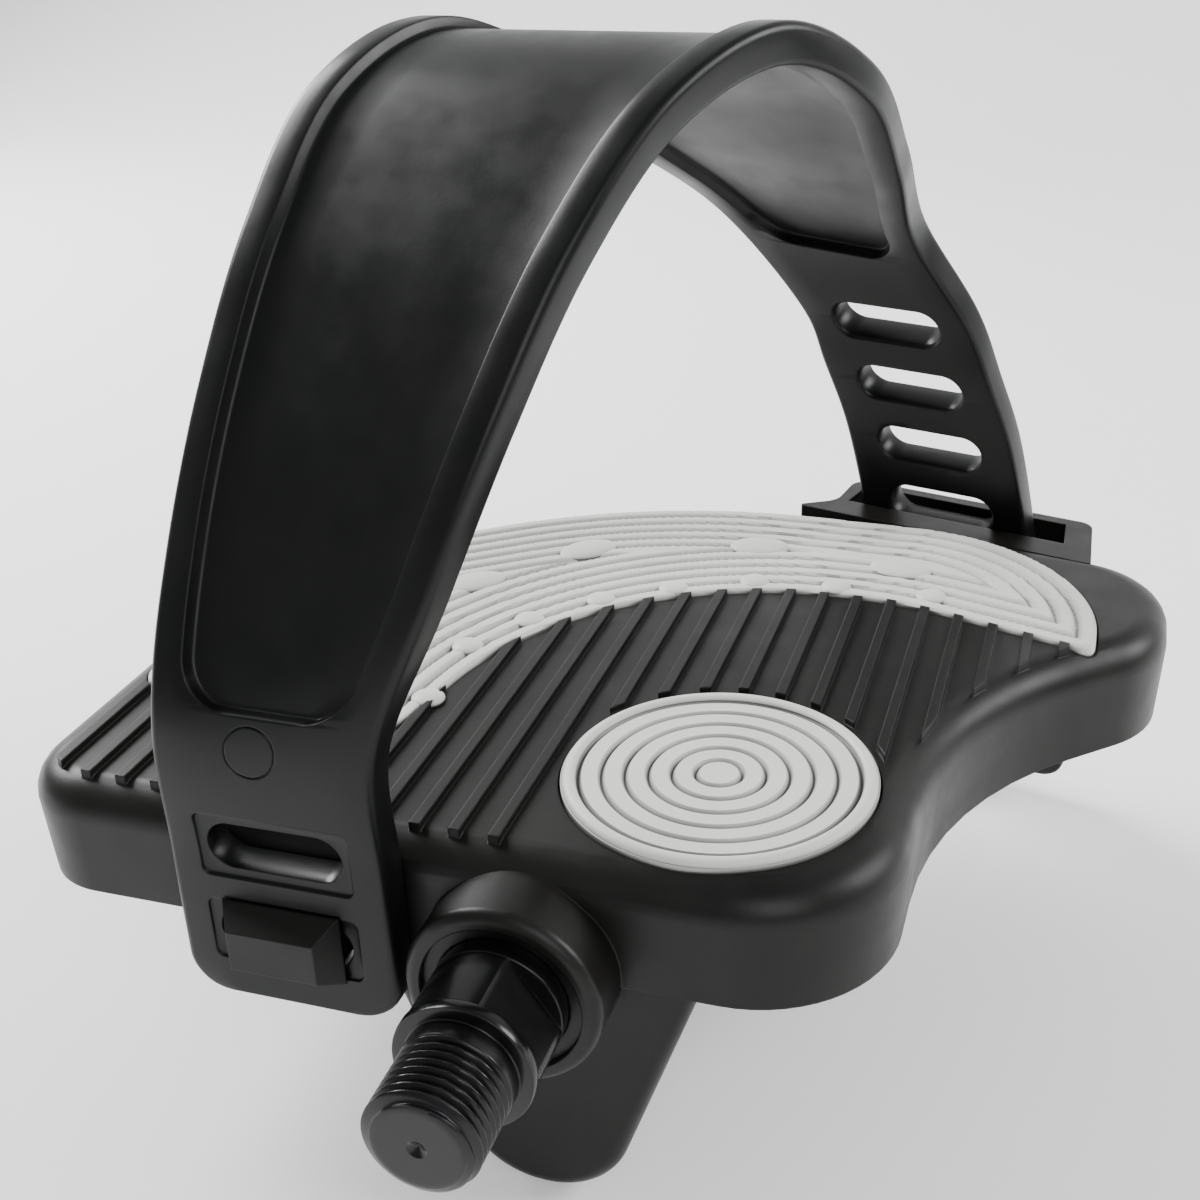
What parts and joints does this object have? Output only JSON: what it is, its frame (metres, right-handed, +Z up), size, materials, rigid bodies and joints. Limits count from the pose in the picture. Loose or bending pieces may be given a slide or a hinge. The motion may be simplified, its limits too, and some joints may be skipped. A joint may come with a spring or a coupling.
{
  "type": "exercise bike pedal",
  "caption": "Wide moulded foot platform that spins on a threaded spindle, weighted underneath so it stays level, with soft pads and a strap arched over the foot.",
  "frame": {"origin": "on the spindle axis at the seating face of the spindle's flange, the face that closes on the crank", "axes": "+Y along the spindle away from the crank, -Y is the threaded end, +Z up out of the foot platform, +X towards the heel of the foot"},
  "size_m": [0.1508, 0.1638, 0.1469],
  "materials": {
    "moulded_nylon": "fine even grain, slight sheen",
    "light_rubber": "satin moulded elastomer",
    "black_rubber": "satin moulded rubber",
    "cast_weight": "as cast",
    "zinc_steel": "zinc plated",
    "black_steel": "black oxide, machined",
    "bearing_steel": "hardened and ground",
    "cage_brass": "pressed sheet"
  },
  "bodies": {
    "spindle": {"spindle": "black_steel", "adjusting_cone": "bearing_steel", "lock_washer": "zinc_steel", "locknut": "zinc_steel"},
    "pedal": {"platform": "moulded_nylon", "crescent_pad": "light_rubber", "round_pad": "light_rubber", "strap": "black_rubber", "counterweight": "cast_weight", "keel_cover": "moulded_nylon", "cover_screws": "zinc_steel", "inner_cup": "bearing_steel", "outer_cup": "bearing_steel", "end_cap": "moulded_nylon", "lip_seal": "black_rubber"},
    "inner_ball_set": {"inner_balls": "bearing_steel", "inner_cage": "cage_brass"},
    "outer_ball_set": {"outer_balls": "bearing_steel", "outer_cage": "cage_brass"}
  },
  "joints": [
    {"name": "pedal_spin", "type": "hinge", "parent": "spindle", "child": "pedal", "pos_m": [0, 0.05, 0], "axis": [0, 1, 0], "continuous": true},
    {"name": "inner_ball_roll", "type": "hinge", "parent": "spindle", "child": "inner_ball_set", "pos_m": [0, 0.0195, 0], "axis": [0, 1, 0], "continuous": true},
    {"name": "outer_ball_roll", "type": "hinge", "parent": "spindle", "child": "outer_ball_set", "pos_m": [0, 0.091, 0], "axis": [0, 1, 0], "continuous": true}
  ],
  "couplings": [
    {"joint": "inner_ball_roll", "follows": "pedal_spin", "ratio": 0.591},
    {"joint": "outer_ball_roll", "follows": "pedal_spin", "ratio": 0.606}
  ]
}
